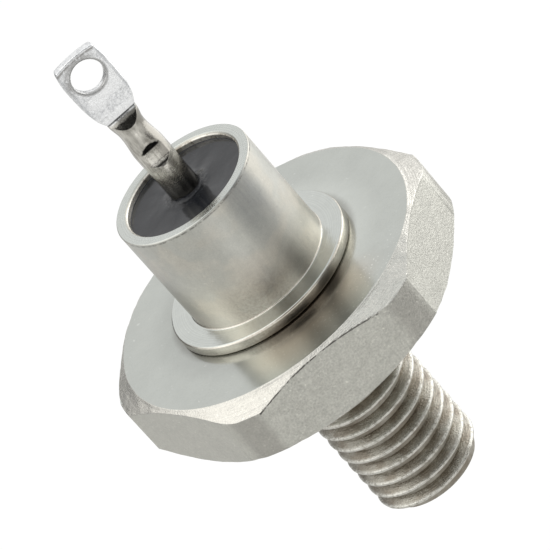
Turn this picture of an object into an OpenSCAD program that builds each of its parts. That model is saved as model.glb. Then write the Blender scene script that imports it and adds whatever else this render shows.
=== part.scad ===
// Stud rectifier diode: hexagon base with a screw stud, welded cap, glass seal and a flattened tube terminal.
// The seat under the hexagon is at z = 0, the stud points down and the terminal points up.
// The broad face of the terminal's blade looks along -Y.

/* [Base] */
// Width of the hexagon across its flats
hex_flats = 17.4; // [14:0.1:22]
// Thickness of the hexagon
hex_thick = 3.9; // [2.5:0.1:6]
// How far the sharp corners of the hexagon are turned off
corner_trim = 0.5; // [0.1:0.05:0.9]
// How far the round flat faces stay inside the hexagon's flats
face_inset = 0.17; // [0.05:0.01:0.6]
// Slope of the chamfers above and below, from the flat face
chamfer_angle = 33; // [15:1:45]
// Turn of the hexagon against the terminal's blade
hex_turn = -3.3; // [-30:0.1:30]
// Height of the round pedestal that carries the chip
pedestal_thick = 0.3; // [0.1:0.05:0.6]
// Free play between the pedestal and the cap
pedestal_gap = 0.15; // [0.05:0.05:0.4]

/* [Stud] */
// Outer diameter of the screw stud, over the thread's crests
stud_d = 6.2; // [4:0.1:8]
// Length of the stud below the seat
stud_length = 11.1; // [6:0.1:20]
// Width of the chamfer at the stud's end
stud_chamfer = 0.47; // [0.2:0.01:0.9]

/* [Cap] */
// Outer diameter of the cap's sleeve
cap_d = 7.9; // [6.8:0.1:10]
// Wall of the cap's sleeve
cap_wall = 0.64; // [0.4:0.02:0.9]
// How far the weld flange stands out from the sleeve
flange_width = 1.22; // [0.6:0.02:2]
// Thickness of the weld flange
flange_thick = 0.64; // [0.4:0.02:1]
// Rounding of the weld flange's rim
flange_round = 0.14; // [0.04:0.01:0.18]
// Chamfer inside the mouth of the cap
mouth_chamfer = 0.12; // [0.04:0.01:0.25]
// Rounding outside the mouth of the cap
mouth_round = 0.08; // [0.03:0.01:0.15]
// Free height inside the cap, from the base to the seal
chamber_height = 4.25; // [3.8:0.05:6]

/* [Seal] */
// Thickness of the glass seal
seal_thick = 2.4; // [1.2:0.1:4]
// How far the seal lies below the mouth of the cap
seal_recess = 0.28; // [0.2:0.02:0.8]
// Rise of the glass where it wets the cap
cap_meniscus = 0.08; // [0.03:0.01:0.14]
// Rise of the glass where it wets the terminal
tube_meniscus = 0.12; // [0.03:0.01:0.3]

/* [Terminal] */
// Outer diameter of the terminal's tube
tube_d = 1.7; // [1.5:0.05:2.4]
// How far the tube reaches below the seal
tube_tail = 0.25; // [0.1:0.05:0.5]
// Height of the press line, where the blade starts, above the cap
press_height = 5.13; // [4.2:0.01:9]
// Length of the sloped shoulders below the press line
shoulder_length = 0.85; // [0.4:0.05:1.2]
// Length of the blade
blade_length = 4.0; // [3.2:0.05:6]
// Greatest width of the blade
blade_width = 2.62; // [2.5:0.02:4]
// Width of the blade at its end
blade_end_width = 2.2; // [1.8:0.02:2.4]
// Thickness of the blade
blade_thick = 0.48; // [0.3:0.02:0.8]
// Rise of the blade's end edge in its middle
end_rise = 0.1; // [0.04:0.01:0.25]
// Diameter of the hole in the blade
hole_d = 1.86; // [1:0.02:2]
// Distance of the hole's centre from the end of the blade
hole_edge = 1.3; // [1.2:0.02:1.8]

/* [Crimp] */
// Height of the crimp's middle above the cap
crimp_height = 2.5; // [1.6:0.05:2.9]
// Length of the crimp's flat floor
crimp_length = 0.7; // [0.5:0.05:1.4]
// Depth of the crimp
crimp_depth = 0.17; // [0.08:0.01:0.25]
// Slope length of the crimp's end walls
crimp_slope = 0.4; // [0.05:0.01:0.5]

/* [Chip stack] */
// Diameter of the buffer disc
disc_d = 4.8; // [4.4:0.1:5.4]
// Thickness of the buffer disc
disc_thick = 0.5; // [0.2:0.05:0.7]
// Diameter of the silicon chip
die_d = 4.0; // [3.4:0.1:4.2]
// Thickness of the silicon chip
die_thick = 0.3; // [0.2:0.02:0.4]
// Thickness of each solder layer
solder_thick = 0.08; // [0.04:0.01:0.12]
// How far the solder stays inside the smaller of the two faces that it joins
solder_inset = 0.1; // [0.05:0.05:0.3]
// How far the coating stands above the chip
coating_rise = 0.25; // [0.12:0.01:0.3]

/* [Lead] */
// Diameter of the copper lead
lead_d = 0.9; // [0.7:0.02:1]
// Free play of the lead in the tube
lead_gap = 0.05; // [0.02:0.01:0.1]
// Diameter of the lead's nail head
head_d = 2.6; // [2:0.1:3]
// Thickness of the nail head
head_thick = 0.35; // [0.2:0.05:0.5]
// Angle of each quarter of the expansion bend
bend_angle = 42; // [20:1:50]
// How far the lead's end stays below the shoulders of the tube
lead_end = 0.9; // [0.2:0.05:1.2]

/* [Hidden] */
$fn = 96;
// Overrun of a cutting shape past the surface that it cuts
past = 1;

face_r = hex_flats / 2 - face_inset;
corner_r = hex_flats / 2 / cos(30) - corner_trim;
chamfer_drop = (corner_r - face_r) * tan(chamfer_angle);
stud_tip_r = stud_d / 2 - stud_chamfer;

cap_r = cap_d / 2;
bore_r = cap_r - cap_wall;
flange_r = cap_r + flange_width;
pedestal_r = bore_r - pedestal_gap;

// Heights, from the base's top face up to the end of the blade
seal_z = hex_thick + chamber_height;
seal_top_z = seal_z + seal_thick;
rim_z = seal_top_z + seal_recess;
press_z = rim_z + press_height;
blade_top_z = press_z + blade_length;
hole_z = blade_top_z - hole_edge;
tube_foot_z = seal_z - tube_tail;
crimp_z = rim_z + crimp_height;

// Heights of the chip stack
lower_solder_z = hex_thick + pedestal_thick;
disc_z = lower_solder_z + solder_thick;
die_solder_z = disc_z + disc_thick;
die_z = die_solder_z + solder_thick;
upper_solder_z = die_z + die_thick;
head_z = upper_solder_z + solder_thick;
bend_z = head_z + head_thick;

// The bend takes up the height between the nail head and the tube
bend_r = (tube_foot_z - bend_z) / (4 * sin(bend_angle));
tube_bore_d = lead_d + 2 * lead_gap;
crimp_floor_y = tube_d / 2 - crimp_depth;
grip_y = tube_bore_d / 2 - crimp_depth;
tube_top_z = press_z - shoulder_length;
lead_top_z = tube_top_z - lead_end;

// Arc of each blade edge, through the tube's width, the widest place and the end's width
root_half = tube_d / 2;
end_half = blade_end_width / 2;
edge_chord = norm([end_half - root_half, blade_length]);
edge_bulge = blade_width / 2 - (root_half + end_half) / 2;
edge_r = edge_chord * edge_chord / (8 * edge_bulge) + edge_bulge / 2;
edge_lean = atan2(end_half - root_half, blade_length);
edge_middle = [(root_half + end_half) / 2, blade_length / 2];
edge_centre = edge_middle - (edge_r - edge_bulge) * [cos(edge_lean), -sin(edge_lean)];
// Arc of the blade's end edge
end_r = end_half * end_half / (2 * end_rise) + end_rise / 2;

// Outline of a flat ring's section with both outer edges rounded
module rounded_section(inner, outer, height, rounding) {
    translate([inner, 0]) square([outer - rounding - inner, height]);
    translate([inner, rounding]) square([outer - inner, height - 2 * rounding]);
    for (z = [rounding, height - rounding]) {
        translate([outer - rounding, z]) circle(rounding);
    }
}

// Concave corner of a liquid that wets a wall, filling the corner towards +X and -Y
module meniscus(rise) {
    difference() {
        square(rise);
        translate([0, rise]) circle(rise);
    }
}

// One stretch of the lead's bend, a part of a ring in the XZ plane.
// The circle is turned so that its seam lies at the side, where all stretches meet alike.
module lead_arc(centre_x, centre_z, from, sweep) {
    translate([centre_x, 0, centre_z]) {
        rotate([90, 0, 0]) {
            rotate([0, 0, from]) {
                rotate_extrude(angle = sweep) translate([bend_r, 0]) rotate(90) circle(d = lead_d);
            }
        }
    }
}

// Prism along X with the given outline in YZ
module across_x(width, outline) {
    translate([-width / 2, 0, 0]) rotate([90, 0, 90]) linear_extrude(width) polygon(outline);
}

module chamfered_hexagon() {
    intersection() {
        rotate([0, 0, hex_turn]) cylinder(r = hex_flats / 2 / cos(30), h = hex_thick, $fn = 6);
        rotate_extrude() {
            polygon([
                [0, 0],
                [face_r, 0],
                [corner_r, chamfer_drop],
                [corner_r, hex_thick - chamfer_drop],
                [face_r, hex_thick],
                [0, hex_thick],
            ]);
        }
    }
}

module stud_base() {
    color([0.72, 0.72, 0.69]) {
        chamfered_hexagon();
        translate([0, 0, hex_thick]) cylinder(r = pedestal_r, h = pedestal_thick);
        translate([0, 0, stud_chamfer - stud_length]) cylinder(d = stud_d, h = stud_length - stud_chamfer);
        translate([0, 0, -stud_length]) cylinder(r1 = stud_tip_r, r2 = stud_d / 2, h = stud_chamfer);
    }
}

// Section of the cap's sleeve, chamfered inside its mouth and rounded outside it
module sleeve_section(height) {
    difference() {
        translate([bore_r, 0]) square([cap_wall, height]);
        polygon([
            [bore_r - past, height - mouth_chamfer - past],
            [bore_r + mouth_chamfer + past, height + past],
            [bore_r - past, height + past],
        ]);
        translate([cap_r - mouth_round, height - mouth_round]) {
            difference() {
                square(mouth_round + past);
                circle(mouth_round);
            }
        }
    }
}

module cap() {
    color([0.78, 0.78, 0.75]) {
        translate([0, 0, hex_thick]) {
            rotate_extrude() {
                rounded_section(bore_r, flange_r, flange_thick, flange_round);
                sleeve_section(rim_z - hex_thick);
            }
        }
    }
}

module glass_seal() {
    color([0.10, 0.10, 0.11]) {
        rotate_extrude() {
            translate([tube_d / 2, seal_z]) square([bore_r - tube_d / 2, seal_thick]);
            translate([bore_r - cap_meniscus, seal_top_z]) meniscus(cap_meniscus);
            translate([tube_d / 2 + tube_meniscus, seal_top_z]) mirror([1, 0]) meniscus(tube_meniscus);
        }
    }
}

module blade_outline() {
    intersection() {
        translate([-blade_width, 0]) square([2 * blade_width, blade_length + end_rise]);
        translate([edge_centre[0], edge_centre[1]]) circle(edge_r);
        translate([-edge_centre[0], edge_centre[1]]) circle(edge_r);
        translate([0, blade_length - end_r]) circle(end_r);
    }
}

module terminal_body() {
    intersection() {
        translate([0, 0, tube_foot_z]) cylinder(d = tube_d, h = press_z - tube_foot_z);
        across_x(2 * tube_d, [
            [-tube_d / 2, tube_foot_z],
            [tube_d / 2, tube_foot_z],
            [tube_d / 2, tube_top_z],
            [blade_thick / 2, press_z],
            [-blade_thick / 2, press_z],
            [-tube_d / 2, tube_top_z],
        ]);
    }
    translate([0, blade_thick / 2, press_z]) rotate([90, 0, 0]) linear_extrude(blade_thick) blade_outline();
}

// Space that the crimping jaw presses out of the tube's front
module crimp_notch() {
    across_x(2 * tube_d, [
        [-crimp_floor_y, crimp_z - crimp_length / 2],
        [-crimp_floor_y, crimp_z + crimp_length / 2],
        [-crimp_floor_y - crimp_depth, crimp_z + crimp_length / 2 + crimp_slope],
        [-crimp_floor_y - crimp_depth - past, crimp_z + crimp_length / 2 + crimp_slope],
        [-crimp_floor_y - crimp_depth - past, crimp_z - crimp_length / 2 - crimp_slope],
        [-crimp_floor_y - crimp_depth, crimp_z - crimp_length / 2 - crimp_slope],
    ]);
}

// Metal that the crimp pushes into the bore, and out of the lead's side
module crimp_grip() {
    across_x(2 * tube_d, [
        [-grip_y, crimp_z - crimp_length / 2],
        [-grip_y, crimp_z + crimp_length / 2],
        [-tube_d, crimp_z + crimp_length / 2],
        [-tube_d, crimp_z - crimp_length / 2],
    ]);
}

module terminal() {
    color([0.80, 0.81, 0.80]) {
        difference() {
            terminal_body();
            difference() {
                translate([0, 0, tube_foot_z - past]) {
                    cylinder(d = tube_bore_d, h = tube_top_z - tube_foot_z + past);
                }
                crimp_grip();
            }
            crimp_notch();
            translate([0, blade_thick, hole_z]) rotate([90, 0, 0]) cylinder(d = hole_d, h = 2 * blade_thick);
        }
    }
}

module inner_lead() {
    middle_z = (bend_z + tube_foot_z) / 2;
    color([0.72, 0.45, 0.20]) {
        translate([0, 0, head_z]) cylinder(d = head_d, h = head_thick);
        lead_arc(bend_r, bend_z, 180 - bend_angle, bend_angle);
        lead_arc(bend_r - 2 * bend_r * cos(bend_angle), middle_z, -bend_angle, 2 * bend_angle);
        lead_arc(bend_r, tube_foot_z, 180, bend_angle);
        difference() {
            translate([0, 0, tube_foot_z]) cylinder(d = lead_d, h = lead_top_z - tube_foot_z);
            crimp_grip();
        }
    }
}

// One layer of solder inside the edge of the smaller face that it joins
module solder_layer(face_d, z) {
    color([0.62, 0.63, 0.65]) translate([0, 0, z]) cylinder(r = face_d / 2 - solder_inset, h = solder_thick);
}

module upper_solder() {
    solder_layer(head_d, upper_solder_z);
}

module silicon_die() {
    color([0.30, 0.31, 0.36]) translate([0, 0, die_z]) cylinder(d = die_d, h = die_thick);
}

module die_solder() {
    solder_layer(die_d, die_solder_z);
}

module buffer_disc() {
    color([0.52, 0.53, 0.55]) translate([0, 0, disc_z]) cylinder(d = disc_d, h = disc_thick);
}

module lower_solder() {
    solder_layer(disc_d, lower_solder_z);
}

// Ring over the chip's edge, from the buffer disc up to the nail head
module junction_coating() {
    coating_height = die_z + die_thick + coating_rise - die_solder_z;
    color([0.75, 0.30, 0.22]) {
        difference() {
            translate([0, 0, die_solder_z]) {
                cylinder(d1 = disc_d, d2 = die_d - 2 * solder_inset, h = coating_height);
            }
            die_solder();
            silicon_die();
            upper_solder();
            translate([0, 0, head_z]) cylinder(d = head_d, h = coating_height);
        }
    }
}

stud_base();
cap();
glass_seal();
terminal();
inner_lead();
upper_solder();
silicon_die();
die_solder();
buffer_disc();
lower_solder();
junction_coating();
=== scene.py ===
from math import acos, asin, cos, exp, hypot, pi, radians, sin, sqrt, tan

import bmesh
import bpy
from mathutils import Matrix, Quaternion, Vector, noise


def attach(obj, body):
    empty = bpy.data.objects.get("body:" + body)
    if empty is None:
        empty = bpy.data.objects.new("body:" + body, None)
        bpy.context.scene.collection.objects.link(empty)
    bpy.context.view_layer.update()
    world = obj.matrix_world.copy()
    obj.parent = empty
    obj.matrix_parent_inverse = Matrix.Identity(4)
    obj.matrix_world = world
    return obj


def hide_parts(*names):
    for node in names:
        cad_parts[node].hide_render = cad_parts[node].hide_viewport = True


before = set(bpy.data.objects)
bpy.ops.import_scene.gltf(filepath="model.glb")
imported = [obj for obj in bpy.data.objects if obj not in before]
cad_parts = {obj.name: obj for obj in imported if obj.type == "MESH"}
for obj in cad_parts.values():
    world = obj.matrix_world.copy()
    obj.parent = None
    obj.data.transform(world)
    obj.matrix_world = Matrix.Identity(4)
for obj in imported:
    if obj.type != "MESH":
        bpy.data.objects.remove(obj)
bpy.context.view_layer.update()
mm = 0.001  # pieces are modelled in millimetres and brought to metres when they are finished
mergeGap = 0.0004  # points closer than this become one
cutGap = 0.00001  # points this close to a cutting plane lie on it
levelGap = 0.001  # a height is reached when it is this close
scene = bpy.context.scene
scene.view_settings.view_transform = "Standard"
print("frame loaded:", len(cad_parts), "nodes")


# camera, at the photograph's viewing angle
camera = {
    "aim": (0.482, 0.0, 3.513),
    "distance": 226.12,
    "elevation": 30.164,
    "roll": -41.336,
    "lens": 299.65,
    "sensor": 36,
    "clip": (0.01, 10),  # in metres
}


def makeCamera():
    lensData = bpy.data.cameras.new("camera")
    lensData.lens, lensData.sensor_width = camera["lens"], camera["sensor"]
    lensData.clip_start, lensData.clip_end = camera["clip"]
    rig = bpy.data.objects.new("camera", lensData)
    tilt = radians(camera["elevation"])
    back = Vector((0, -cos(tilt), sin(tilt)))
    rig.location = (Vector(camera["aim"]) + back * camera["distance"]) * mm
    rig.rotation_mode = "QUATERNION"
    rig.rotation_quaternion = (-back).to_track_quat("-Z", "Y") @ Quaternion((0, 0, 1), radians(camera["roll"]))
    scene.collection.objects.link(rig)
    scene.camera = rig


makeCamera()
print("camera placed")


# shader maths: a wire is a socket of one node tree, and an expression on wires adds its Math nodes
class Wire:
    def __init__(self, tree, socket=None):
        self.tree = tree
        self.socket = socket

    # any node: its type, its settings, then the values or links of its sockets
    def node(self, kind, settings=None, sockets=None, out=0):
        made = self.tree.nodes.new(kind)
        for key, value in (settings or {}).items():
            setattr(made, key, value)
        for key, value in (sockets or {}).items():
            if isinstance(value, Wire):
                self.tree.links.new(value.socket, made.inputs[key])
            else:
                made.inputs[key].default_value = value
        return Wire(self.tree, made.outputs[out] if made.outputs else None)

    def maths(self, operation, left, right=0.0):
        return self.node("ShaderNodeMath", {"operation": operation}, {0: left, 1: right})

    def __add__(self, other):
        return self.maths("ADD", self, other)

    def __sub__(self, other):
        return self.maths("SUBTRACT", self, other)

    def __rsub__(self, other):
        return self.maths("SUBTRACT", other, self)

    def __mul__(self, other):
        return self.maths("MULTIPLY", self, other)

    def __truediv__(self, other):
        return self.maths("DIVIDE", self, other)

    def __abs__(self):
        return self.maths("ABSOLUTE", self)

    __radd__ = __add__
    __rmul__ = __mul__

    # the larger of two values
    def most(self, other):
        return self.maths("MAXIMUM", self, other)

    # length of a line with these two sides
    def reach(self, other):
        return self.maths("SQRT", self * self + other * other)

    # 0 below low, 1 above high, with soft ends; low may be the larger
    def ramp(self, low, high):
        return self.node("ShaderNodeMapRange", {"interpolation_type": "SMOOTHSTEP"},
                         {"Value": self, "From Min": low, "From Max": high})

    # this wire is the factor between two colours
    def blend(self, first, second):
        return self.node("ShaderNodeMix", {"data_type": "RGBA"}, {0: self, 6: first, 7: second}, out=2)

    # colour made lighter or darker by a value
    def shade(self, value):
        return self.node("ShaderNodeVectorMath", {"operation": "SCALE"}, {0: self, "Scale": value})

    def parts(self):
        return [self.node("ShaderNodeSeparateXYZ", None, {0: self}, out=axis) for axis in range(3)]

    def joined(self, x, y=0.0, z=0.0):
        return self.node("ShaderNodeCombineXYZ", None, {0: x, 1: y, 2: z})

    def noise(self, scale, detail=3.0, rough=0.5, distort=0.0):
        return self.node("ShaderNodeTexNoise", None, {"Vector": self, "Scale": scale, "Detail": detail,
                                                      "Roughness": rough, "Distortion": distort})

    def stretched(self, x, y, z):
        return self.node("ShaderNodeVectorMath", {"operation": "MULTIPLY"}, {0: self, 1: (x, y, z)})

    def bump(self, strength, depth):
        return self.node("ShaderNodeBump", None, {"Height": self, "Strength": strength, "Distance": depth * mm})


def emptyMaterial(name):
    material = bpy.data.materials.new(name)
    material.use_nodes = True
    material.node_tree.nodes.clear()
    return material, Wire(material.node_tree)


def newMaterial(name):
    material, start = emptyMaterial(name)
    place = start.node("ShaderNodeTexCoord", None, None, "Object").stretched(1 / mm, 1 / mm, 1 / mm)
    return material, start, place  # place is in millimetres


def surface(start, colour, roughness, normal, metallic=1.0, fixed=None):
    shader = start.node("ShaderNodeBsdfPrincipled", None, {
        "Base Color": colour, "Roughness": roughness, "Metallic": metallic, "Normal": normal, **(fixed or {})})
    start.node("ShaderNodeOutputMaterial", None, {"Surface": shader})


# how far up the surface looks: 1 where it is level, 0 where it is upright
def upward(start, kind="Normal"):
    return start.node("ShaderNodeNewGeometry", None, None, kind).parts()[2]


# 1 on the side that is named by its right and front shares, less away from it
def towards(x, y, radius, side):
    return (x * side[0] - y * side[1]) / radius


# nickel of the base: satin seat faces, turned chamfers, grainy drawn flats and a duller thread
baseFinish = {
    "face": (0.515, 0.532, 0.50, 1),
    "chamfer": (0.635, 0.62, 0.57, 1),
    "flats": (0.55, 0.545, 0.495, 1),
    "thread": (0.65, 0.635, 0.58, 1),
    # colour of the thread's valleys, darkened as painted shade in the grooves
    "root": (0.275, 0.245, 0.20, 1),
    "stain": (0.395, 0.375, 0.325, 1),
    "corner": (0.46, 0.45, 0.41, 1),
    # painted warm reflection of the cap on the top
    "warm": (0.58, 0.51, 0.425, 1),
    # painted shadow around the flange, with a brown weld tint
    "flangeShadeAndTint": (0.075, 0.06, 0.045, 1),
    # painted shade under the chamfer's edge on the flats
    "burrShade": (0.12, 0.115, 0.105, 1),
    "grain": 9.0,
    "rings": 14,  # turning marks, finer when this is larger
    "burrShadeBand": (-0.12, -0.09),  # how far below the chamfer's edge the painted dark line ends
    "frontFlat": (-8.0, -8.4),
    "topFrom": (3.5, 3.6),  # above this the top's own tints count
    "paintedSide": (0.14, 0.99),
    "weldEdge": 5.17,  # radius of the flange
    "flangeShadeWidth": (0.5, 1.4),  # width of the painted shade and brown tint, and what the front adds
    "capReflectionReach": (8.7, 6.4),
    "shadedValley": (3.08, 2.94),  # radii of the crests and of the valleys, which are painted darker as shade
    "smoothSide": (-6.0, -3.0),  # left of this the flats have less grain
    "bump": (0.55, 0.035),
}


def makeBaseNickel():
    material, start, place = newMaterial("baseNickel")
    x, y, z = place.parts()
    radius = x.reach(y)
    angle = start.maths("ARCTAN2", y, x)
    lean = abs(upward(start))
    faceLean = abs(upward(start, "True Normal"))
    onHex = z.ramp(-0.02, 0.0)
    level = lean.ramp(0.93, 0.985)
    upright = 1 - lean.ramp(0.2, 0.6)
    turned = (1 - level) * (1 - upright)
    grain = place.noise(baseFinish["grain"], 4, 0.62)
    blotch = place.noise(0.55, 3, 0.5)
    fine = place.noise(16, 2, 0.5)
    rings = start.joined(radius * baseFinish["rings"], angle * 2.2, z * baseFinish["rings"]).noise(1, 3, 0.6)
    specks = place.noise(3.1, 2, 0.4).ramp(0.70, 0.76)

    flat = base["acrossFlats"] / 2
    colour = upright.blend(turned.blend(baseFinish["face"], baseFinish["chamfer"]), baseFinish["flats"])
    sixth = start.maths("MODULO", angle + radians(360 - base["turn"]), radians(60)) - radians(30)
    across = radius * start.maths("COSINE", sixth) - flat  # below 0 inside a flat's plane
    # the turned corners are darker: partly their own finish, partly a painted dark reflection
    colour = (across.ramp(0.0, -0.2) * upright).blend(colour, baseFinish["corner"])
    # painted shade in a thin, broken dark line under the edge where the chamfer runs out on a flat, strongest
    # on the front flat
    faceRadius = flat - base["faceInset"]
    under = z - base["thick"] + (radius - faceRadius) * tan(radians(base["chamferAngle"]))
    broken = place.noise(2.6, 3, 0.6).ramp(0.34, 0.50)
    onFlat = across.ramp(-0.03, -0.01) * faceLean.ramp(0.5, 0.3)
    burrShade = onFlat * (under + (fine - 0.5) * 0.05).ramp(*baseFinish["burrShadeBand"]) * broken
    colour = (burrShade * (0.15 + y.ramp(*baseFinish["frontFlat"]) * 0.8)).blend(colour, baseFinish["burrShade"])
    # painted warm reflection of the cap on the top, and painted shadow with a brown weld tint around the
    # flange, widest towards the front
    spread = towards(x, y, radius, baseFinish["paintedSide"]).ramp(0.78, 0.995)
    onTop = z.ramp(*baseFinish["topFrom"]) * level
    colour = (spread * radius.ramp(*baseFinish["capReflectionReach"]) * onTop * 0.6).blend(colour, baseFinish["warm"])
    narrow, added = baseFinish["flangeShadeWidth"]
    flangeShadeAndTint = (radius - baseFinish["weldEdge"]) / (narrow + spread * added) + (blotch - 0.5) * 0.3
    flangeShadeAndTint = flangeShadeAndTint.ramp(1.0, 0.0) * onTop
    colour = (flangeShadeAndTint * (0.4 + spread * 0.5)).blend(colour, baseFinish["flangeShadeAndTint"])
    # thread: bright crests over stained valleys, which are painted darker as shade
    root = radius.ramp(*baseFinish["shadedValley"])
    valley = place.noise(1.1, 3, 0.55).ramp(0.36, 0.66).blend(baseFinish["root"], baseFinish["stain"])
    crest = place.noise(4.5, 3, 0.6).ramp(0.54, 0.32).blend(baseFinish["thread"], baseFinish["stain"])
    colour = onHex.blend(root.blend(crest, valley), colour)

    glints = place.noise(6.5, 2, 0.5).ramp(0.66, 0.73) * (1 - level)
    coarse = upright * (0.12 + onHex * (0.22 + x.ramp(*baseFinish["smoothSide"]) * 0.4))
    sparks = place.noise(8, 2, 0.4).ramp(0.66, 0.72) * onTop * y.ramp(-4.0, -6.0) * x.ramp(-4.0, 0.0)
    mottle = place.noise(2.2, 5, 0.7)
    tone = 0.90 + blotch * 0.14 + (grain - 0.5) * (coarse + turned * 0.35 + 0.10)
    tone = tone + (rings - 0.5) * turned * 0.3 + (mottle - 0.5) * (0.05 + coarse * 0.5)
    # next to the flange the top is painted darker on the left, as shade, and lighter on the right, as light
    tone = tone + radius.ramp(7.2, 5.3) * onTop * (x.ramp(-3.0, 4.5) * 0.26 - 0.12)
    colour = colour.shade(tone + specks * 0.16 + glints * 0.25 + sparks * 0.5)

    roughness = 0.14 + blotch * 0.06 + upright * (0.16 + onHex * 0.08) + turned * 0.10 + (fine - 0.5) * 0.05
    height = (grain - 0.5) * (coarse * 2.2 + turned * 1.2 + 0.06)
    height = height + (rings - 0.5) * turned - specks * level * 0.25
    surface(start, colour, roughness, height.bump(*baseFinish["bump"]))
    return material


# nickel of the cap: drawn lengthwise, turned on the rim, warmer near its foot
capFinish = {
    "sleeve": (0.535, 0.535, 0.49, 1),
    "warm": (0.65, 0.61, 0.53, 1),
    "rim": (0.58, 0.60, 0.57, 1),
    # painted shade under the mouth's outer edge
    "lipShade": (0.14, 0.135, 0.12, 1),
    "inside": (0.46, 0.42, 0.35, 1),
    "fleck": (0.90, 0.87, 0.79, 1),
    # painted dark reflection in a streak on the sleeve
    "stain": (0.33, 0.335, 0.325, 1),
    "rust": (0.36, 0.30, 0.235, 1),
    "rings": 16,
    "warmRise": (4.6, 8.6),  # heights over which the warm foot fades
    "darkStreakSide": (0.5, 0.866),
    "darkStreakRise": (6.2, 9.6),
    "rustSide": (-0.17, 0.985),
    "rustRise": (7.6, 4.8),
    "litSide": (-0.5, 0.866),
    "litRise": (9.5, 6.0),
    "shadeRise": (10.0, 7.0),
    "bump": (0.4, 0.02),
}


def makeCapNickel():
    material, start, place = newMaterial("capNickel")
    x, y, z = place.parts()
    radius = x.reach(y)
    level = upward(start).ramp(0.7, 0.97)
    streak = place.stretched(1, 1, 0.12).noise(1.6, 4, 0.55)
    fineStreak = place.stretched(1, 1, 0.05).noise(7, 3, 0.6)
    grain = place.noise(13, 3, 0.65)
    cloud = place.noise(0.6, 3, 0.5, 0.3)
    mottle = place.noise(2.0, 5, 0.7, 0.4)
    rings = start.joined(radius * capFinish["rings"]).noise(1, 2, 0.6)
    low = 1 - z.ramp(*capFinish["warmRise"])
    warmth = (low * 0.75 + cloud.ramp(0.42, 0.62) * 0.45) * (1 - level)
    colour = warmth.blend(capFinish["sleeve"], capFinish["warm"])
    # a painted dark reflection in a streak along the sleeve, right of the front
    darkStreak = towards(x, y, radius, capFinish["darkStreakSide"]).ramp(0.93, 0.995) * z.ramp(*capFinish["darkStreakRise"])
    darkStreak = darkStreak * (0.55 + fineStreak * 0.9)
    colour = (darkStreak * 0.8).blend(colour, capFinish["stain"])
    # brown freckles low on the front
    freckles = place.noise(8, 4, 0.75).ramp(0.40, 0.64) * z.ramp(*capFinish["rustRise"])
    freckles = freckles * towards(x, y, radius, capFinish["rustSide"]).ramp(0.84, 0.99)
    colour = (freckles * 0.45).blend(colour, capFinish["rust"])
    colour = level.blend(colour, capFinish["rim"])
    # painted shade in a dark line under the mouth's outer edge, and the flecked wall above the glass, painted
    # lighter towards the left
    rim, outer, bore = cap["rim"], cap["outer"], cap["bore"]
    lipShade = z.ramp(rim - 0.19, rim - 0.15) * z.ramp(rim - 0.06, rim - 0.10)
    lipShade = lipShade * radius.ramp(outer - 0.25, outer - 0.15) * place.noise(4.5, 4, 0.7).ramp(0.40, 0.58)
    colour = (lipShade * 0.7).blend(colour, capFinish["lipShade"])
    across = x / radius
    # the wall is painted lighter towards the left, as light
    inside = place.noise(3.5, 4, 0.65, 0.5).ramp(0.38, 0.56) + across.ramp(-0.2, -0.9)
    inside = inside.blend(capFinish["inside"], capFinish["fleck"])
    colour = radius.ramp(bore + 0.07, bore + 0.03).blend(colour, inside)
    # painted light and shade: the sleeve is painted lighter left of the front, and darker at its two sides
    lit = towards(x, y, radius, capFinish["litSide"]).ramp(0.7, 1.0) * z.ramp(*capFinish["litRise"]) * 0.14
    lit = lit - across.ramp(-0.82, -0.98) * z.ramp(*capFinish["shadeRise"]) * 0.3
    lit = lit - across.ramp(0.55, 0.85) * 0.10
    tone = 0.84 + streak * 0.14 + fineStreak * 0.10 + (rings - 0.5) * level * 0.45
    tone = tone + (grain - 0.5) * (0.34 - level * 0.26) + (lit + (mottle - 0.5) * 0.28) * (1 - level)
    specks = place.noise(4.3, 2, 0.4).ramp(0.71, 0.76)
    colour = colour.shade(tone + specks * 0.12)
    shelf = cap["foot"] + cap["flangeThick"]
    onFlange = 1 - z.ramp(shelf - 0.04, shelf + 0.16)
    roughness = 0.30 + cloud * 0.10 + (grain - 0.5) * 0.12 - level * 0.08 - onFlange * 0.16
    height = (grain - 0.5) * (0.7 - level * 0.5) + (fineStreak - 0.5) * 0.4 * (1 - level)
    height = height + (rings - 0.5) * level * 1.3
    surface(start, colour, roughness, height.bump(*capFinish["bump"]))
    return material


# black glass of the seal, hazy with dust and wavy around the tube
sealFinish = {
    "glass": (0.012, 0.013, 0.016, 1),
    "haze": (0.045, 0.05, 0.06, 1),
    "foldReach": (2.6, 0.9),
    "lumpReach": (1.5, 1.0),
    "bump": (0.4, 0.12),
    "gloss": {"IOR": 1.5, "Specular IOR Level": 0.4},
}


def makeSealGlass():
    material, start, place = newMaterial("sealGlass")
    x, y = place.parts()[:2]
    radius = x.reach(y)
    wave = place.noise(0.9, 3, 0.5, 0.4)
    dust = place.noise(9, 2, 0.5).ramp(0.62, 0.74)
    folds = start.joined(x / radius * 2.4, y / radius * 2.4, radius * 0.3).noise(1, 3, 0.5)
    nearTube = radius.ramp(*sealFinish["foldReach"])
    lumps = place.noise(4, 3, 0.6) * radius.ramp(*sealFinish["lumpReach"])
    colour = (dust * 0.5 + wave * 0.3).blend(sealFinish["glass"], sealFinish["haze"])
    roughness = 0.09 + wave * 0.08 + dust * 0.08 + lumps * 0.1
    height = wave * 0.5 + folds * nearTube * 0.1 + lumps * 1.5
    surface(start, colour, roughness, height.bump(*sealFinish["bump"]), 0.0, sealFinish["gloss"])
    return material


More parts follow.
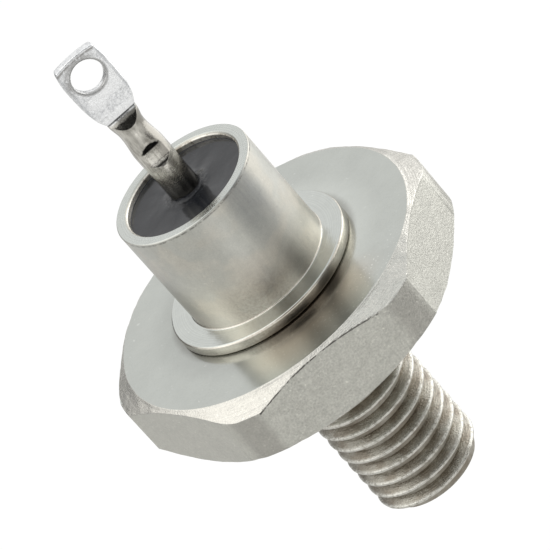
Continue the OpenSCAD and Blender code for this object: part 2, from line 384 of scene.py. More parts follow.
# tin of the terminal: bright and blotchy on the blade, duller and browner on the tube
tinFinish = {
    "blade": (0.98, 0.985, 0.985, 1),
    "dull": (0.64, 0.65, 0.66, 1),
    "tube": (0.68, 0.66, 0.60, 1),
    "tubeDullAndShade": (0.34, 0.325, 0.29, 1),
    # painted shade around the hole and under the blade's end
    "bladeShade": (0.36, 0.355, 0.345, 1),
    # painted shade in the crimp, on the facet, along the press line and at the glass
    "tinShade": (0.03, 0.03, 0.028, 1),
    "footRise": (11.9, 10.7),  # heights over which the painted shade at the glass fades
    "bump": (0.6, 0.05),
}


def makeTerminalTin():
    material, start, place = newMaterial("terminalTin")
    x, y, z = place.parts()
    press, tube, facetFrom = terminal["press"], terminal["tube"], terminal["facetFrom"]
    onBlade = z.ramp(press - 0.11, press + 0.01)
    cloud = place.noise(0.9, 4, 0.6, 0.8)
    scuffs = place.noise(3.2, 5, 0.65, 0.9)
    fine = place.noise(12, 3, 0.6)
    crystals = place.noise(7.5, 5, 0.75, 0.4)
    drag = place.stretched(1, 1, 0.15).noise(6, 3, 0.6)
    side = x - terminal["sideShift"]
    holeZ = z - terminal["holeHeight"]
    holeReach = side.reach(holeZ)

    # painted highlights under the hole and above the press line, and bright patches in the tin
    highlightsAndPatches = holeReach.ramp(0.98, 1.06) * holeReach.ramp(1.9, 1.25) * (holeZ - side * 0.6).ramp(-0.4, -0.9)
    highlightsAndPatches = highlightsAndPatches + z.ramp(press + 0.63, press + 0.23) + cloud.ramp(0.46, 0.62) * 0.7
    dull = (cloud * 0.25 + crystals * 0.75).ramp(0.36, 0.62) * (1 - highlightsAndPatches.ramp(0.3, 1.0) * 0.8)
    # a line of painted shade along both long edges
    longEdge = abs(side) + (scuffs - 0.5) * 0.08
    edgeShade = longEdge.ramp(1.06, 1.13) * longEdge.ramp(1.24, 1.17) * z.ramp(press + 0.63, press + 1.23)
    bladeColour = (dull + edgeShade * 0.7).blend(tinFinish["blade"], tinFinish["dull"])
    # painted shade around the hole, wider towards the blade's end, and under the end
    rim = holeReach.ramp(1.05, 0.94) * 0.75
    wide = holeReach.ramp(1.40, 1.02) * (holeZ - side * 0.5).ramp(0.0, 0.7) * scuffs.ramp(0.34, 0.52)
    endGap = terminal["bladeTop"] - side * side * 0.08 - z
    underEnd = endGap.ramp(0.10, 0.14) * endGap.ramp(0.30, 0.17) * scuffs.ramp(0.36, 0.5)
    bladeShade = rim.most(wide * 0.8).most(underEnd)
    bladeColour = (bladeShade * y.ramp(0.0, -0.1)).blend(bladeColour, tinFinish["bladeShade"])

    # the tube is duller in patches, and painted darker on its right side as shade
    tubeDullAndShade = (cloud * 0.5 + drag * 0.5).ramp(0.38, 0.60) + side.ramp(0.1, 0.6)
    tubeColour = tubeDullAndShade.blend(tinFinish["tube"], tinFinish["tubeDullAndShade"])
    # painted shade in the crimp's upper slot, under its lower wall and at the glass
    low, high = terminal["crimpLow"][0], terminal["crimpHigh"]
    reach = x.reach(y)
    front = y.ramp(-0.5, -0.6)
    slot = z.ramp(high[0] - 0.04, high[0] + 0.06) * z.ramp(high[1], high[1] - 0.06)
    slot = slot * reach.ramp(tube - 0.03, tube - 0.06) * front
    lowRim = z.ramp(low - 0.04, low + 0.02) * z.ramp(low + 0.22, low + 0.12)
    lowRim = lowRim * reach.ramp(tube + 0.016, tube - 0.002) * front
    foot = z.ramp(*tinFinish["footRise"]) * 0.8
    shadeMask = (slot * 0.9).most(lowRim * 0.8).most(foot)
    tubeColour = shadeMask.blend(tubeColour, tinFinish["tinShade"])
    # painted shade on the pressed facet too, except at its left end
    facet = upward(start, "True Normal").ramp(0.32, 0.5) * z.ramp(facetFrom - 0.15, facetFrom + 0.2)
    facet = facet * side.ramp(-0.6, -0.2)
    tubeColour = (facet * 0.6).blend(tubeColour, tinFinish["tinShade"])
    colour = onBlade.blend(tubeColour, bladeColour)
    # painted shade along the crease of the press line
    crease = abs(z - press).ramp(0.045, 0.02)
    colour = (crease * 0.8).blend(colour, tinFinish["tinShade"])
    colour = colour.shade(0.90 + cloud * 0.14 + (drag - 0.5) * 0.14 + (fine - 0.5) * 0.10)

    roughness = 0.15 + cloud * 0.10 + crystals.ramp(0.45, 0.7) * onBlade * 0.12 + (drag - 0.5) * 0.06
    height = (scuffs - 0.5) * 0.3 + (cloud - 0.5) * (0.5 + onBlade) + (fine - 0.5) * 0.2
    height = height + (crystals - 0.5) * onBlade * 0.6
    surface(start, colour, roughness, height.bump(*tinFinish["bump"]))
    return material


# the pieces inside the cap, which stay as they are packed: colour, darker colour, roughness, metallic
solderFinish = ((0.48, 0.49, 0.50, 1), (0.36, 0.37, 0.39, 1), 0.34, 1.0)
innerFinish = {
    "inner_lead": ("leadCopper", (0.60, 0.28, 0.13, 1), (0.42, 0.19, 0.09, 1), 0.28, 1.0),
    "upper_solder": ("solderUpper", *solderFinish),
    "silicon_die": ("siliconChip", (0.10, 0.11, 0.14, 1), (0.15, 0.16, 0.20, 1), 0.18, 0.7),
    "die_solder": ("solderMiddle", *solderFinish),
    "buffer_disc": ("molybdenumDisc", (0.36, 0.37, 0.39, 1), (0.28, 0.29, 0.31, 1), 0.38, 1.0),
    "lower_solder": ("solderLower", *solderFinish),
    "junction_coating": ("siliconeCoating", (0.52, 0.10, 0.05, 1), (0.38, 0.07, 0.04, 1), 0.45, 0.0),
}


def dressInner(node):
    name, colour, darker, rough, metallic = innerFinish[node]
    material, start, place = newMaterial(name)
    cloud = place.noise(1.7, 4, 0.55)
    grain = place.noise(14, 3, 0.6)
    surface(start, cloud.ramp(0.35, 0.7).blend(colour, darker), rough + (cloud - 0.5) * 0.15,
            (grain - 0.5).bump(0.3, 0.02), metallic)
    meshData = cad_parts[node].data
    meshData.materials.clear()
    meshData.materials.append(material)


for innerNode in innerFinish:
    dressInner(innerNode)
print("inner pieces dressed:", len(innerFinish))


# helpers for shapes, all in millimetres
def kept01(value):
    return min(1, max(0, value))


def soften(value):  # from 0 to 1 with soft ends
    share = kept01(value)
    return share * share * (3 - 2 * share)


def rows(low, high, count):
    return [low + (high - low) * row / count for row in range(count + 1)]


def heading(turn):
    return Vector((cos(turn), sin(turn), 0))


def axisReach(corner):
    return hypot(corner.co.x, corner.co.y)


def edgesIn(parts):
    return [part for part in parts if isinstance(part, bmesh.types.BMEdge)]


def vertsIn(parts):
    return [part for part in parts if isinstance(part, bmesh.types.BMVert)]


def drawPath(bm, points, closed=False):
    corners = [bm.verts.new((across, 0, up)) for across, up in points]
    edges = [bm.edges.new(pair) for pair in zip(corners, corners[1:])]
    if closed:
        edges.append(bm.edges.new((corners[-1], corners[0])))
    return corners, edges


def roundCorner(bm, corner, radius, segments):
    bmesh.ops.bevel(bm, geom=[corner], offset=radius, offset_type="OFFSET", segments=segments, profile=0.5,
                    affect="VERTICES", material=-1)


def roundEdges(bm, edges, width, segments=3):
    bmesh.ops.bevel(bm, geom=edges, offset=width, offset_type="OFFSET", segments=segments, profile=0.5,
                    affect="EDGES", clamp_overlap=True, material=-1)


# spins and cuts leave their parts in an order that changes from run to run, and roundings follow that order
def settleOrder(bm):
    def ends(part):
        return sorted(v.index for v in part.verts)

    for parts, place in ((bm.verts, lambda v: tuple(v.co)), (bm.edges, ends), (bm.faces, ends)):
        for rank, part in enumerate(sorted(parts, key=place)):
            part.index = rank
        parts.sort()
    held = bpy.data.meshes.new("settled")
    bm.to_mesh(held)
    bm.clear()
    bm.from_mesh(held)
    bpy.data.meshes.remove(held)


def spinAround(bm, steps):
    bmesh.ops.spin(bm, geom=bm.verts[:] + bm.edges[:], cent=(0, 0, 0), axis=(0, 0, 1), dvec=(0, 0, 0),
                   angle=2 * pi, steps=steps, use_merge=True)
    settleOrder(bm)
    bmesh.ops.remove_doubles(bm, verts=bm.verts, dist=mergeGap)


# cuts away what lies beyond a plane and gives the edges of the cut
def cutAway(bm, point, normal):
    cut = bmesh.ops.bisect_plane(bm, geom=bm.verts[:] + bm.edges[:] + bm.faces[:], dist=cutGap, plane_co=point,
                                 plane_no=normal, clear_outer=True)
    return edgesIn(cut["geom_cut"])


def finishPiece(bm, name, node, material, sharp=40):
    bmesh.ops.remove_doubles(bm, verts=bm.verts, dist=mergeGap)
    bmesh.ops.recalc_face_normals(bm, faces=bm.faces)
    bmesh.ops.scale(bm, vec=(mm, mm, mm), verts=bm.verts)
    meshData = bpy.data.meshes.new(name)
    bm.to_mesh(meshData)
    openEdges = sum(edge.is_boundary for edge in bm.edges)
    bm.free()
    meshData.shade_smooth()
    meshData.set_sharp_from_angle(angle=radians(sharp))
    meshData.materials.append(material)
    piece = bpy.data.objects.new(name, meshData)
    scene.collection.objects.link(piece)
    weighted = piece.modifiers.new("weighted", "WEIGHTED_NORMAL")
    weighted.keep_sharp = True
    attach(piece, "root")
    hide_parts(node)
    print(name, "made:", len(meshData.polygons), "faces,", openEdges, "open edges")


# hexagon base with its screw stud
base = {
    "acrossFlats": 17.4,
    "thick": 3.9,
    "cornerTrim": 0.5,
    "faceInset": 0.17,
    "chamferAngle": 33,
    "turn": -3.3,
    "pedestalRadius": 3.16,
    "pedestalTop": 4.2,
    "faceStrip": 0.12,  # narrow strips next to the chamfers keep the shading even
    "cornerStrip": 0.14,
    "chamferCuts": 11,
    "chamferDepth": 0.06,  # how deep the uneven turning cuts into the chamfers
    "chamferEven": 0.45,  # share of that depth that is the same all round
    "chamferWaves": ((0.6, 0.8), (0.4, 2.2)),  # share and fineness of the rest
    "crispAngle": 15,
    "flatRound": 0.06,
    "cornerRound": 4.0,  # rounding between a flat and the turned corner after it
    "cornerSteps": 7,
    "faceRound": 0.04,
    "steps": 480,
}
stud = {
    "crest": 3.1,
    "root": 2.62,
    "pitch": 0.907,
    "length": 11.1,
    "tip": 2.63,
    "rootFlat": 0.21,
    "flankAngle": 60,
    "crestDrop": 0.03,  # the crest's edges are eased by this, over the next two
    "easeFlank": 0.01,
    "easeCrest": 0.035,
    "runOutFrom": 0.5,  # below the seat the groove fills up over this stretch
    "runOutTo": 1.3,
    "seatFillet": 0.1,  # the stud runs into the seat over this
    "spareTurns": 1.5,  # spun past the end, then cut off
    "leastRadius": 1.0,
    "stepsPerTurn": 96,
}


def makeThread():
    bm = bmesh.new()
    crest, root, pitch, length = stud["crest"], stud["root"], stud["pitch"], stud["length"]
    rootHalf = stud["rootFlat"] / 2
    landFrom = rootHalf + (crest - root) * tan(radians(stud["flankAngle"] / 2))
    tooth = [(root, 0), (root, rootHalf), (crest - stud["crestDrop"], landFrom - stud["easeFlank"]),
             (crest, landFrom + stud["easeCrest"])]
    tooth += [(across, pitch - up) for across, up in reversed(tooth)]
    start = -length - stud["spareTurns"] * pitch
    drawPath(bm, [(across, start + up) for across, up in tooth])
    turns = int((length + (stud["spareTurns"] + 1) * pitch) / pitch) + 1
    steps = stud["stepsPerTurn"]
    bmesh.ops.spin(bm, geom=bm.verts[:] + bm.edges[:], cent=(0, 0, 0), axis=(0, 0, 1),
                   dvec=(0, 0, pitch / steps), angle=2 * pi * turns, steps=steps * turns, use_merge=False)
    settleOrder(bm)
    bmesh.ops.remove_doubles(bm, verts=bm.verts, dist=mergeGap)
    for corner in bm.verts:
        reach, below = axisReach(corner), -corner.co.z
        full = soften((below - stud["runOutFrom"]) / (stud["runOutTo"] - stud["runOutFrom"]))
        wanted = crest + (reach - crest) * full
        wanted = min(wanted, stud["tip"] + length - below)  # chamfer at the stud's end
        wanted = max(wanted, stud["leastRadius"])
        corner.co.x *= wanted / reach
        corner.co.y *= wanted / reach
    cutAway(bm, (0, 0, -stud["seatFillet"]), (0, 0, 1))
    bmesh.ops.edgeloop_fill(bm, edges=cutAway(bm, (0, 0, -length), (0, 0, -1)))
    meshData = bpy.data.meshes.new("studThread")
    bm.to_mesh(meshData)
    bm.free()
    return meshData


def makeBase():
    bm = bmesh.new()
    flat, top = base["acrossFlats"] / 2, base["thick"]
    faceRadius = flat - base["faceInset"]
    faceStrip, cornerStrip = faceRadius - base["faceStrip"], base["cornerStrip"]
    cornerRadius = flat / cos(radians(30)) - base["cornerTrim"]
    drop = (cornerRadius - faceRadius) * tan(radians(base["chamferAngle"]))
    edges = drawPath(bm, [
        (0, base["pedestalTop"]), (base["pedestalRadius"], base["pedestalTop"]), (base["pedestalRadius"], top),
        (faceStrip, top), (faceRadius, top), (cornerRadius, top - drop),
        (cornerRadius, top - drop - cornerStrip), (cornerRadius, drop + cornerStrip), (cornerRadius, drop),
        (faceRadius, 0), (faceStrip, 0), (stud["crest"] + stud["seatFillet"], 0),
    ])[1]
    bmesh.ops.subdivide_edges(bm, edges=[edges[4], edges[8]], cuts=base["chamferCuts"])  # the two chamfers
    spinAround(bm, base["steps"])
    # the turned chamfers are uneven, so their lower edge wanders where the flats cut it
    for corner in bm.verts:
        if faceRadius + 0.01 < axisReach(corner) < cornerRadius - 0.01:
            wave = sum(share * noise.noise(corner.co * fineness) for share, fineness in base["chamferWaves"])
            up = 1 if corner.co.z > top / 2 else -1
            corner.co.z -= up * base["chamferDepth"] * max(0, base["chamferEven"] + wave)
    cornerTurn, cornerRound = acos(flat / cornerRadius), base["cornerRound"]
    for side in range(6):
        turn = radians(base["turn"] + 30 + 60 * side)
        out, edgePlace = heading(turn), heading(turn + cornerTurn)
        bmesh.ops.edgeloop_fill(bm, edges=cutAway(bm, out * flat, out))
        centre = edgePlace * cornerRadius - (out + edgePlace) * cornerRound / (1 + cos(cornerTurn))
        for step in range(1, base["cornerSteps"]):
            softOut = heading(turn + cornerTurn * step / base["cornerSteps"])
            bmesh.ops.edgeloop_fill(bm, edges=cutAway(bm, centre + softOut * cornerRound, softOut))
    settleOrder(bm)

    def onFaceEdge(edge):
        atRadius = all(abs(axisReach(v) - faceRadius) < 0.002 for v in edge.verts)
        return atRadius and any(all(abs(v.co.z - height) < 0.002 for v in edge.verts) for height in (top, 0))

    crisp = [edge for edge in bm.edges
             if edge.is_manifold and edge.calc_face_angle() > radians(base["crispAngle"])
             and min(axisReach(v) for v in edge.verts) > faceRadius + 0.05]
    roundEdges(bm, crisp, base["flatRound"])
    settleOrder(bm)
    roundEdges(bm, [edge for edge in bm.edges if onFaceEdge(edge)], base["faceRound"])
    bm.from_mesh(makeThread())
    bmesh.ops.bridge_loops(bm, edges=[edge for edge in bm.edges if edge.is_boundary])
    finishPiece(bm, "studBase", "stud_base", makeBaseNickel())


makeBase()


# cap with its weld flange
cap = {
    "outer": 3.95,
    "bore": 3.31,
    "flange": 5.17,
    "foot": 3.9,
    "flangeThick": 0.64,
    "flangeRound": 0.14,
    "rim": 10.83,
    "mouthChamfer": 0.12,
    "mouthRound": 0.08,
    "boreRound": 0.03,
    "footFillet": 0.1,
    "steps": 192,
}


def makeCap():
    bm = bmesh.new()
    shelf = cap["foot"] + cap["flangeThick"]
    corners = drawPath(bm, [
        (cap["bore"], cap["foot"]), (cap["flange"], cap["foot"]), (cap["flange"], shelf), (cap["outer"], shelf),
        (cap["outer"], cap["rim"]), (cap["bore"] + cap["mouthChamfer"], cap["rim"]),
        (cap["bore"], cap["rim"] - cap["mouthChamfer"]),
    ], closed=True)[0]
    rounds = (("flangeRound", 6), ("flangeRound", 6), ("footFillet", 5), ("mouthRound", 5), ("boreRound", 3),
              ("boreRound", 3))
    for corner, (rounding, segments) in zip(corners[1:], rounds):
        roundCorner(bm, corner, cap[rounding], segments)
    spinAround(bm, cap["steps"])
    finishPiece(bm, "weldedCap", "cap", makeCapNickel())


makeCap()


# glass seal, drawn up a little where it wets the cap and the tube
seal = {
    "tube": 0.85,
    "bore": 3.31,
    "foot": 8.15,
    "top": 10.43,
    "capRise": 0.05,
    "tubeRise": 0.18,
    "riseSteps": 5,
    "collarLump": 0.09,
    "lumpFineness": 2.6,
    "steps": 144,
}


def makeSeal():
    bm = bmesh.new()
    path = [(seal["tube"], seal["foot"]), (seal["bore"], seal["foot"])]
    swings = rows(0, pi / 2, seal["riseSteps"])
    for wall, way, rise, order in ((seal["bore"], -1, seal["capRise"], swings),
                                   (seal["tube"], 1, seal["tubeRise"], reversed(swings))):
        for swing in order:
            path.append((wall + way * rise * (1 - cos(swing)), seal["top"] + rise * (1 - sin(swing))))
    drawPath(bm, path, closed=True)
    spinAround(bm, seal["steps"])
    for corner in bm.verts:  # the collar at the tube is lumpy
        near = 1 - (axisReach(corner) - seal["tube"]) / seal["tubeRise"]
        if corner.co.z > seal["top"] and near > 0:
            corner.co.z += seal["collarLump"] * near * noise.noise(corner.co * seal["lumpFineness"])
    finishPiece(bm, "glassSeal", "glass_seal", makeSealGlass(), sharp=60)


makeSeal()


# terminal: a tube that is crimped on the lead and pressed flat into a blade
terminal = {
    "tube": 0.85,
    "waist": 0.10,  # how much narrower the tube is below the press line
    "waistHeight": 14.85,
    "waistSpan": 0.95,
    "waistFall": 1.6,  # the waist ends more quickly when this is larger
    "swell": 0.045,  # how far the crimp pushes the tube's sides out
    "swellHeight": 13.35,
    "swellSpan": 0.6,
    "foot": 7.9,
    "boreRadius": 0.5,
    "boreTop": 14.9,
    "press": 15.97,
    "facetFrom": 15.3,  # the press leaves a slanted facet on both sides of the tube
    "facetAngle": 33,
    "ledge": 15.84,
    "ledgeHalf": 0.5,
    "halfThick": 0.24,
    "rootSwell": 0.035,  # the blade is a little thicker where it leaves the press line
    "rootSpan": 0.26,
    "rootFrom": 15.1,  # from here the tube widens to the blade's root
    "rootHalf": 0.88,
    "wideHalf": 1.315,
    "flare": 0.6,
    "endTaper": 0.19,
    "taperFrom": 2.6,
    "bladeTop": 19.96,
    "endRise": 0.1,
    "endHalf": 1.1,
    "sideShift": 0.04,  # the blade stands a little to the right of the tube
    "shiftFrom": 15.2,
    "shiftSpan": 1.5,
    "holeHeight": 18.65,
    "holeRadius": 0.87,
    "holeRoll": 0.11,
    "holeMargins": (0.28, 0.22),  # below and above the hole, where its rings start
    "crimpFloor": 0.64,
    "crimpLow": (12.66, 12.98),
    "crimpHigh": (13.68, 14.12),
    "crimpCurve": 1.5,  # how hollow the crimp's upper wall is
    "edgeRound": 0.03,
    "sideRound": 0.08,
    "endRound": 0.09,
    "sideAngle": 40,
    "crispAngle": 32,
    "broadFrom": 24,  # angles of the lengthwise edges on the broad sides
    "broadStep": 12,
    "tubeLevels": (10.3, 11.5, 12.2),
    "neckLevels": (14.3, 14.6, 14.9, 15.1),
    "bladeLifts": (0, 0.05, 0.1, 0.15, 0.2, 0.26, 0.42, 0.65, 0.95, 1.3),
}


def tubeRadius(z):
    lift = (z - terminal["waistHeight"]) / terminal["waistSpan"]
    radius = terminal["tube"] - terminal["waist"] * exp(-lift * lift * terminal["waistFall"])
    lift = (z - terminal["swellHeight"]) / terminal["swellSpan"]
    radius += terminal["swell"] * exp(-lift * lift)
    root = soften((z - terminal["rootFrom"]) / (terminal["press"] - terminal["rootFrom"]))
    return radius + (terminal["rootHalf"] - radius) * root


def bladeHalf(z):
    along, rootHalf = z - terminal["press"], terminal["rootHalf"]
    endLength = terminal["bladeTop"] - terminal["press"] - terminal["taperFrom"]
    taper = max(0, (along - terminal["taperFrom"]) / endLength)
    grown = rootHalf + (terminal["wideHalf"] - rootHalf) * (1 - exp(-along / terminal["flare"]))
    return grown - terminal["endTaper"] * taper * taper


# half thickness of the blade, which swells softly towards the press line
def slabHalf(z):
    near = kept01(1 - (z - terminal["press"]) / terminal["rootSpan"])
    return terminal["halfThick"] + terminal["rootSwell"] * near * near


# half thickness of the shoulder: a slanted facet up to a ledge, then a steep step down to the blade
def facetHalf(z):
    return terminal["ledgeHalf"] + (terminal["ledge"] - z) * tan(radians(terminal["facetAngle"]))


def stepHalf(z):
    share = (z - terminal["ledge"]) / (terminal["press"] - terminal["ledge"])
    return terminal["ledgeHalf"] + (slabHalf(terminal["press"]) - terminal["ledgeHalf"]) * share


# the crimp's floor is flat; its lower wall rounds off to the tube's skin, its upper wall is hollow
def crimpedFront(z):
    low, high = terminal["crimpLow"], terminal["crimpHigh"]
    if z < low[1]:
        rise = sin((low[1] - z) / (low[1] - low[0]) * pi / 2)
    else:
        rise = max(0, (z - high[0]) / (high[1] - high[0])) ** terminal["crimpCurve"]
    return terminal["crimpFloor"] + (terminal["tube"] - terminal["crimpFloor"]) * rise


def terminalPoint(turn, z):
    press = terminal["press"]
    radius = tubeRadius(min(z, press))
    side = 1 if sin(turn) > 0 else -1
    x = (radius if z <= press else bladeHalf(z)) * cos(turn)
    reach = radius * abs(sin(turn))
    if z > press - levelGap:
        reach = min(slabHalf(z), reach)
    up = z
    if z > terminal["bladeTop"] - levelGap:  # the end edge is a shallow arc
        endRadius = terminal["endHalf"] ** 2 / (2 * terminal["endRise"]) + terminal["endRise"] / 2
        up = z - endRadius + sqrt(endRadius ** 2 - x * x)
    shifted = terminal["sideShift"] * kept01((z - terminal["shiftFrom"]) / terminal["shiftSpan"])
    return Vector((x + shifted, side * reach, up))


# presses one side of the tube down to a plane between two heights, with a crisp outline
def pressSide(bm, side, zFrom, zTo, halfAt):
    pressGap = 0.0001
    start, end = side * halfAt(zFrom), side * halfAt(zTo)
    inside = []
    for face in bm.faces:
        middle = face.calc_center_median()
        if zFrom - levelGap < middle.z < zTo + levelGap and middle.y * side > 0:
            inside.append(face)
    touched = dict.fromkeys(part for face in inside for part in (*face.verts, *face.edges))
    bmesh.ops.bisect_plane(bm, geom=inside + list(touched), dist=pressGap, plane_co=(0, start, zFrom),
                           plane_no=(0, zFrom - zTo, end - start))
    for corner in bm.verts:
        if zFrom - pressGap < corner.co.z < zTo + pressGap and side * corner.co.y > halfAt(corner.co.z):
            corner.co.y = side * halfAt(corner.co.z)


def makeTerminal():
    bm = bmesh.new()
    press, half, foot = terminal["press"], terminal["halfThick"], terminal["foot"]
    facetFrom, ledge, bladeTop = terminal["facetFrom"], terminal["ledge"], terminal["bladeTop"]
    edgeTurn = asin(half / terminal["rootHalf"])
    broadFrom = terminal["broadFrom"]
    sideTurns = [-edgeTurn / 2, 0, edgeTurn / 2, edgeTurn]
    broadTurns = [radians(turn) for turn in range(broadFrom, 181 - broadFrom, terminal["broadStep"])]
    turns = [lap + turn for lap in (0, pi) for turn in (*sideTurns, *broadTurns, pi - edgeTurn)]
    crimpLevels = rows(*terminal["crimpLow"], 8) + rows(*terminal["crimpHigh"], 5)
    holeHeight, holeRadius = terminal["holeHeight"], terminal["holeRadius"]
    holeLow = holeHeight - holeRadius - terminal["holeMargins"][0]
    holeHigh = holeHeight + holeRadius + terminal["holeMargins"][1]
    levels = [foot, *terminal["tubeLevels"], *crimpLevels, *terminal["neckLevels"], *rows(facetFrom, ledge, 4)]
    levels += [press + lift for lift in terminal["bladeLifts"]] + rows(holeLow, holeHigh, 8) + [bladeTop]

    columns, lifts = len(turns), len(levels) - 1
    grid = bmesh.ops.create_grid(bm, x_segments=columns, y_segments=lifts, size=0.5)["verts"]
    for corner in grid:  # the grid is rolled up into the tube
        column = round((corner.co.x + 0.5) * columns) % columns
        corner.co = terminalPoint(turns[column], levels[round((corner.co.y + 0.5) * lifts)])
    bmesh.ops.remove_doubles(bm, verts=bm.verts, dist=mergeGap)
    for zFrom, zTo in zip(crimpLevels, crimpLevels[1:]):
        pressSide(bm, -1, zFrom, zTo, crimpedFront)
    for side in (-1, 1):
        pressSide(bm, side, facetFrom, ledge, facetHalf)
        pressSide(bm, side, ledge, press, stepHalf)

    # both broad faces are opened around the hole, and rings lead from the openings to the hole's edge
    shift = terminal["sideShift"]
    opened = []
    for face in bm.faces:
        middle = face.calc_center_median()
        broad = bladeHalf(middle.z) * cos(radians(broadFrom))
        onBroad = abs(middle.x - shift) < broad and abs(middle.y) > half * 0.9
        if onBroad and holeLow < middle.z < holeHigh:
            opened.append(face)
    bmesh.ops.delete(bm, geom=opened, context="FACES")
    holeEdges = []
    for side in (-1, 1):
        rimEdges = [edge for edge in bm.edges if edge.is_boundary
                    and all(abs(v.co.y - side * half) < levelGap for v in edge.verts)
                    and all(holeLow - 0.01 < v.co.z < holeHigh + 0.01 for v in edge.verts)]
        grown = bmesh.ops.extrude_edge_only(bm, edges=rimEdges)["geom"]
        middle = Vector((shift, side * half, holeHeight))
        for corner in vertsIn(grown):
            corner.co = middle + (corner.co - middle).normalized() * holeRadius
        holeEdges.append([edge for edge in edgesIn(grown) if edge.is_boundary])
    bmesh.ops.bridge_loops(bm, edges=holeEdges[0] + holeEdges[1])

    # open foot with the bore for the lead
    footEdges = [edge for edge in bm.edges
                 if edge.is_boundary and all(v.co.z < foot + 0.01 for v in edge.verts)]
    circle = bmesh.ops.create_circle(bm, segments=columns, radius=terminal["boreRadius"],
                                     matrix=Matrix.Translation((0, 0, foot)))["verts"]
    circleEdges = list(dict.fromkeys(edge for v in circle for edge in v.link_edges))
    bmesh.ops.bridge_loops(bm, edges=footEdges + circleEdges)
    grown = bmesh.ops.extrude_edge_only(bm, edges=circleEdges)["geom"]
    bmesh.ops.translate(bm, verts=vertsIn(grown), vec=(0, 0, terminal["boreTop"] - foot))
    bmesh.ops.edgeloop_fill(bm, edges=[edge for edge in edgesIn(grown) if edge.is_boundary])

    # end face of the blade, split into strips because it is curved
    endEdges = [edge for edge in bm.edges if edge.is_boundary]
    bmesh.ops.edgeloop_fill(bm, edges=endEdges)
    endCorners = sorted({v for edge in endEdges for v in edge.verts}, key=lambda v: (round(v.co.x, 3), v.co.y))
    for first, second in zip(endCorners, endCorners[1:]):
        if abs(first.co.x - second.co.x) < 0.002 and not bm.edges.get((first, second)):
            bmesh.ops.connect_verts(bm, verts=[first, second])

    bmesh.ops.recalc_face_normals(bm, faces=bm.faces)
    roundEdges(bm, [edge for edge in holeEdges[0] if edge.is_valid], terminal["holeRoll"], 5)
    roundEdges(bm, [edge for edge in holeEdges[1] if edge.is_valid], terminal["edgeRound"], 2)
    frontEnd = [edge for edge in endEdges if edge.is_valid and all(v.co.y < 0.01 - half for v in edge.verts)]
    roundEdges(bm, frontEnd, terminal["endRound"], 4)
    sideEdges = [edge for edge in bm.edges
                 if edge.is_manifold and edge.calc_face_angle() > radians(terminal["sideAngle"])
                 and all(press + 0.1 < v.co.z < bladeTop - 0.25 for v in edge.verts)
                 and all(abs(v.co.x - shift) > bladeHalf(v.co.z) * 0.93 for v in edge.verts)]
    roundEdges(bm, sideEdges, terminal["sideRound"], 4)
    crisp = [edge for edge in bm.edges
             if edge.is_manifold and edge.calc_face_angle() > radians(terminal["crispAngle"])
             and min(v.co.z for v in edge.verts) > foot + 0.5
             and max(axisReach(v) for v in edge.verts) > terminal["boreRadius"] + 0.05]
    roundEdges(bm, crisp, terminal["edgeRound"], 3)
    finishPiece(bm, "flattenedTerminal", "terminal", makeTerminalTin(), sharp=50)


makeTerminal()


# studio: a pale floor under the part, a white room, soft lamps, and the dark of the camera's own stand
studio = {
    "floorHeight": -45.0,
    "floorSize": 4000.0,
    "floorShade": (0.86, 0.86, 0.85, 1),
    # share of plain white that the floor shows to each kind of ray
    "floorGlow": {"Is Camera Ray": 0.8, "Is Glossy Ray": 0.15, "Is Transmission Ray": 0.8},
    "glowStrength": 1.1,
    "roomLight": 0.66,
    "lamps": [
        # name, place, aim, width, depth, power in watts, tint
        ("overheadLamp", (-160, 70, 310), (0, 0, 5), 320, 320, 0.205, (1, 0.98, 0.93)),
        ("rightLamp", (150, 60, 40), (75, 30, -45), 90, 90, 0.05, (1, 1, 1)),
    ],
    "cards": [
        # name, place, width, height, shade, tint: they show only in the metal
        ("cameraStand", (8, -190, 165), 140, 150, 0.02, (1, 1, 1)),
        ("leftFloor", (-62, 47, -41), 80, 60, 0.78, (1, 1, 1)),
        ("frontCard", (0, -98, -36), 60, 18, 1.35, (1, 1, 1)),
        ("darkSide", (105, -85, 43), 75, 170, 0.22, (1, 1, 1)),
        ("rightCard", (95, 40, -40), 180, 120, 2.15, (1, 1, 1)),
        ("leftWindow", (-200, -10, 120), 120, 110, 1.7, (1, 1, 1)),
        ("leftCard", (-170, 240, 20), 220, 150, 0.30, (1, 1, 1)),
        ("topRightCard", (130, -10, 270), 200, 260, 0.94, (0.94, 0.98, 1)),
    ],
}


def stagePiece(bm, name, material):
    meshData = bpy.data.meshes.new(name)
    bm.to_mesh(meshData)
    bm.free()
    meshData.materials.append(material)
    piece = bpy.data.objects.new(name, meshData)
    scene.collection.objects.link(piece)
    return piece


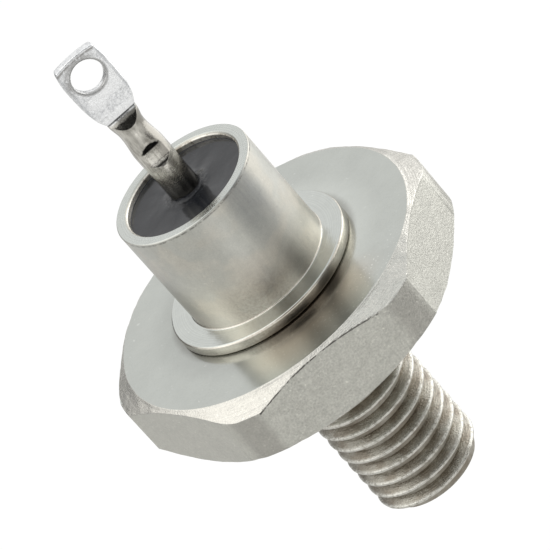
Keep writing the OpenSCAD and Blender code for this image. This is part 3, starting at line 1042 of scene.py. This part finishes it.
def makeFloor():
    material, start = emptyMaterial("paleFloor")
    seen = [start.node("ShaderNodeLightPath", None, None, name) * share
            for name, share in studio["floorGlow"].items()]
    matte = start.node("ShaderNodeBsdfDiffuse", None, {"Color": studio["floorShade"]})
    glow = start.node("ShaderNodeEmission", None, {"Color": (1, 1, 1, 1), "Strength": studio["glowStrength"]})
    mixed = start.node("ShaderNodeMixShader", None, {0: seen[0] + seen[1] + seen[2], 1: matte, 2: glow})
    # from below the floor is clear, so that the underside can be looked at
    below = start.node("ShaderNodeNewGeometry", None, None, "Backfacing")
    clear = start.node("ShaderNodeBsdfTransparent")
    mixed = start.node("ShaderNodeMixShader", None, {0: below, 1: mixed, 2: clear})
    start.node("ShaderNodeOutputMaterial", None, {"Surface": mixed})

    bm = bmesh.new()
    bmesh.ops.create_grid(bm, x_segments=4, y_segments=4, size=studio["floorSize"] / 2 * mm,
                          matrix=Matrix.Translation((0, 0, studio["floorHeight"] * mm)))
    floor = stagePiece(bm, "floor", material)


def makeCards():
    for name, place, width, height, shade, tint in studio["cards"]:
        bm = bmesh.new()
        bmesh.ops.create_grid(bm, x_segments=2, y_segments=2, size=0.5)
        bmesh.ops.scale(bm, vec=(width * mm, height * mm, 1), verts=bm.verts)
        turn = Vector(place).to_track_quat("Z", "Y").to_matrix().to_4x4()
        bmesh.ops.transform(bm, matrix=Matrix.Translation(Vector(place) * mm) @ turn, verts=bm.verts)
        material, start = emptyMaterial(name)
        glow = start.node("ShaderNodeEmission", None, {"Color": (*tint, 1), "Strength": shade})
        start.node("ShaderNodeOutputMaterial", None, {"Surface": glow})
        card = stagePiece(bm, name, material)
        card.visible_camera = card.visible_diffuse = card.visible_shadow = card.visible_transmission = False


# the room is plain white to the camera, in the metal and through glass, and dimmer as a light
def makeRoom():
    world = bpy.data.worlds.new("room")
    scene.world = world
    world.use_nodes = True
    world.node_tree.nodes.clear()
    start = Wire(world.node_tree)
    seen = [start.node("ShaderNodeLightPath", None, None, name)
            for name in ("Is Camera Ray", "Is Glossy Ray", "Is Transmission Ray")]
    visible = seen[0].most(seen[1]).most(seen[2])
    room = start.node("ShaderNodeBackground", None, {
        "Color": (1, 1, 1, 1), "Strength": studio["roomLight"] + visible * (1 - studio["roomLight"])})
    start.node("ShaderNodeOutputWorld", None, {"Surface": room})


def makeLamps():
    for name, place, aim, width, depth, power, tint in studio["lamps"]:
        lampData = bpy.data.lights.new(name, "AREA")
        lampData.shape = "RECTANGLE"
        lampData.size, lampData.size_y = width * mm, depth * mm
        lampData.energy = power
        lampData.color = tint
        lamp = bpy.data.objects.new(name, lampData)
        lamp.location = Vector(place) * mm
        lamp.rotation_mode = "QUATERNION"
        lamp.rotation_quaternion = (Vector(aim) - Vector(place)).to_track_quat("-Z", "Y")
        scene.collection.objects.link(lamp)


makeFloor()
makeCards()
makeRoom()
makeLamps()
print("studio set:", len(studio["lamps"]), "lamps,", len(studio["cards"]), "cards")
